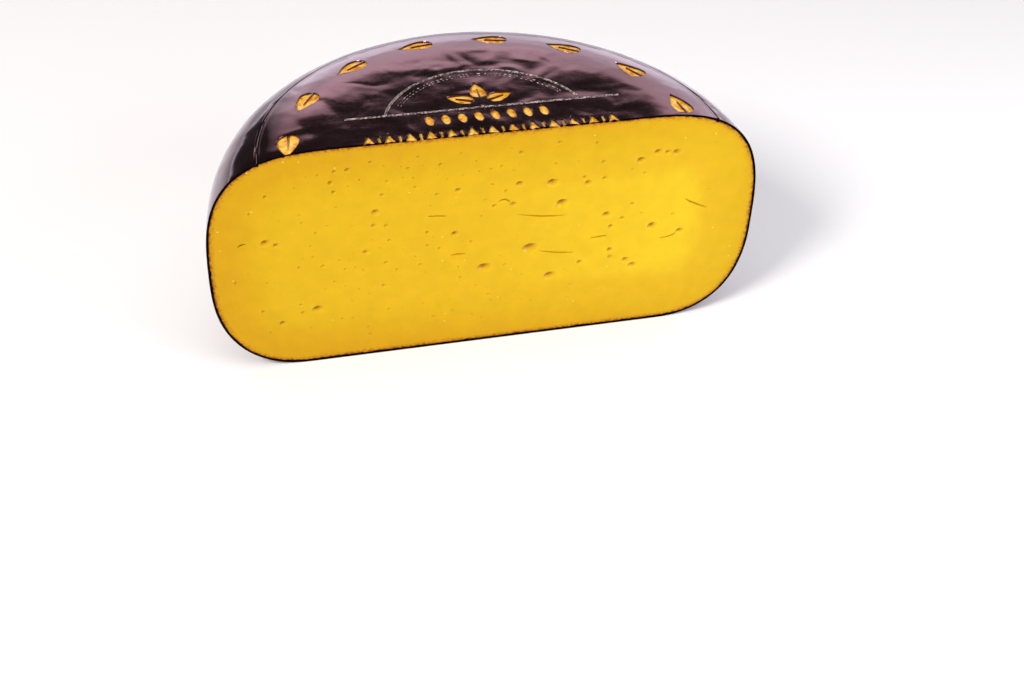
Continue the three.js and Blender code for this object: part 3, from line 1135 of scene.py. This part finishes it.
FLOOR_REACH = 3.0  # to each side
AIM = Vector((11.6 * MM, CUT_Y, -3.7 * MM))  # what the camera looks at
LIT = Vector((0, CUT_Y, 50 * MM))  # what the lights look at
KEY_PLACE, FILL_PLACE = (-1.0, -0.75, 1.15), (0.6, -0.5, 0.38)
LAMP_SIZE = 0.5
FILL_SHARE = 0.15  # of the key light's power


def soft_light(name, place, power, colour):
    lamp = bpy.data.lights.new(name, "AREA")
    lamp.shape = "RECTANGLE"
    lamp.size = lamp.size_y = LAMP_SIZE
    lamp.energy = power
    lamp.color = linear(colour)[:3]
    holder = bpy.data.objects.new(name, lamp)
    holder.location = place
    holder.rotation_euler = (LIT - Vector(place)).to_track_quat("-Z", "Y").to_euler()
    bpy.context.scene.collection.objects.link(holder)


def studio_world():
    """A white wall behind and low down, which the wax mirrors, a dark band above it, a bright ceiling."""
    world = bpy.data.worlds.new("studio")
    world.use_nodes = True
    tree = world.node_tree
    tree.nodes.clear()
    way = add_node(tree, "TexCoord").outputs["Generated"]
    parts = add_node(tree, "SeparateXYZ", {"Vector": way})
    share = add_node(tree, "MapRange", {"Value": parts.outputs["Z"], "From Min": -1.0})
    rear = add_node(
        tree,
        "ValToRGB",
        {"Fac": share},
        stops=[
            (0.0, linear("#f0f2ff")),
            (0.56, linear("#f2f0fa")),
            (0.722, linear("#e8d6dc")),
            (0.746, grey(0.015)),
            (0.88, grey(0.015)),
            (0.93, grey(0.58)),
        ],
    )
    front = add_node(
        tree,
        "ValToRGB",
        {"Fac": share},
        stops=[(0.0, grey(0.015)), (0.85, grey(0.015)), (0.93, grey(0.58))],
    )
    # Behind is +Y; a dark screen stands at the left, towards -X
    behind = add_node(tree, "MapRange", {"Value": parts.outputs["Y"], "From Min": -0.1, "From Max": 0.3})
    around = add_node(tree, "Mix", {0: behind, 6: front, 7: rear}, data_type="RGBA").outputs[2]
    left = add_node(tree, "MapRange", {"Value": parts.outputs["X"], "From Min": -0.08, "From Max": -0.22})
    up = add_node(tree, "MapRange", {"Value": parts.outputs["Z"], "From Min": -0.02, "From Max": 0.03})
    under_ceiling = add_node(
        tree, "MapRange", {"Value": parts.outputs["Z"], "From Min": 0.8, "From Max": 0.7}
    )
    screen = add_node(tree, "Math", {0: left, 1: up}, operation="MULTIPLY")
    screened = add_node(tree, "Math", {0: screen, 1: under_ceiling}, operation="MULTIPLY")
    light = add_node(tree, "Mix", {0: screened, 6: around, 7: grey(0.015)}, data_type="RGBA").outputs[2]
    # The wall is unevenly lit
    patches = add_node(tree, "TexNoise", {"Vector": way, "Scale": 5.0, "Detail": 2.0})
    strength = add_node(
        tree,
        "MapRange",
        {"Value": patches, "From Min": 0.35, "From Max": 0.65, "To Min": 1.4, "To Max": 2.4},
    )
    back = add_node(tree, "Background", {"Color": light, "Strength": strength})
    add_node(tree, "OutputWorld", {"Surface": back})
    bpy.context.scene.world = world


def floor_material(studio):
    """Painted studio floor: flat and pale, with a very faint tooth."""
    material, tree, place = new_material("pale_studio_floor")
    tooth = add_node(tree, "TexNoise", {"Vector": place, "Scale": 120.0})
    raised = add_node(tree, "Bump", {"Height": tooth, "Strength": 0.05, "Distance": 0.2 * MM})
    skin = add_node(
        tree,
        "BsdfPrincipled",
        {"Base Color": tuple(studio.floor_colour), "Roughness": 0.8, "Normal": raised},
    )
    add_node(tree, "OutputMaterial", {"Surface": skin})
    return material


class CHEESE_OT_make_studio(bpy.types.Operator):
    """Sets the floor, the light and the camera"""

    bl_idname = "cheese.make_studio"
    bl_label = "Make the studio"

    def execute(self, context):
        scene, studio = context.scene, context.scene.cheese_studio
        bm = bmesh.new()
        bmesh.ops.create_grid(bm, x_segments=2, y_segments=2, size=FLOOR_REACH)
        floor = put_in_scene(mesh_of(bm, "floor"), "floor")
        floor.data.materials.append(floor_material(studio))

        soft_light("key", KEY_PLACE, studio.key_power, "#fffaf2")
        soft_light("fill", FILL_PLACE, FILL_SHARE * studio.key_power, "#f6f6ff")
        studio_world()

        scene.view_settings.view_transform = "Standard"
        scene.view_settings.look = "None"

        turn, climb = studio.azimuth, studio.elevation
        flat = math.cos(climb)
        back = Vector((math.sin(turn) * flat, -math.cos(turn) * flat, math.sin(climb)))
        level = (-back).cross(Vector((0, 0, 1))).normalized()
        upright = back.cross(level)
        right = level * math.cos(studio.roll) + upright * math.sin(studio.roll)
        up = back.cross(right)
        lens = bpy.data.cameras.new("camera")
        lens.sensor_width = 36
        lens.lens = studio.lens
        lens.clip_start = 0.01
        camera = bpy.data.objects.new("camera", lens)
        facing = Matrix((right, up, back)).transposed().to_4x4()
        camera.matrix_world = Matrix.Translation(AIM + back * studio.distance) @ facing
        scene.collection.objects.link(camera)
        scene.camera = camera
        return {"FINISHED"}


class CHEESE_PT_panel(bpy.types.Panel):
    """The sizes, colours and steps of the waxed half cheese"""

    bl_idname = "CHEESE_PT_panel"
    bl_label = "Waxed half cheese"
    bl_space_type = "VIEW_3D"
    bl_region_type = "UI"
    bl_category = "Cheese"

    def draw(self, context):
        scene = context.scene
        for group in (scene.cheese_shape, scene.cheese_body, scene.cheese_wax, scene.cheese_studio):
            box = self.layout.box()
            for name in group.__annotations__:
                box.prop(group, name)
        for step in (CHEESE_OT_make_body, CHEESE_OT_make_wax, CHEESE_OT_make_studio):
            self.layout.operator(step.bl_idname)


CLASSES = (
    WheelShape,
    WaxCoat,
    CheeseBody,
    CheeseStudio,
    CHEESE_OT_make_body,
    CHEESE_OT_make_wax,
    CHEESE_OT_make_studio,
    CHEESE_PT_panel,
)
GROUPS = {
    "cheese_shape": WheelShape,
    "cheese_wax": WaxCoat,
    "cheese_body": CheeseBody,
    "cheese_studio": CheeseStudio,
}


def register():
    for kind in CLASSES:
        bpy.utils.register_class(kind)
    for name, group in GROUPS.items():
        setattr(bpy.types.Scene, name, bpy.props.PointerProperty(type=group))


def unregister():
    for name in GROUPS:
        delattr(bpy.types.Scene, name)
    for kind in reversed(CLASSES):
        bpy.utils.unregister_class(kind)


def main():
    register()
    bpy.ops.cheese.make_body()
    bpy.ops.cheese.make_wax()
    bpy.ops.cheese.make_studio()


if __name__ == "__main__":
    main()
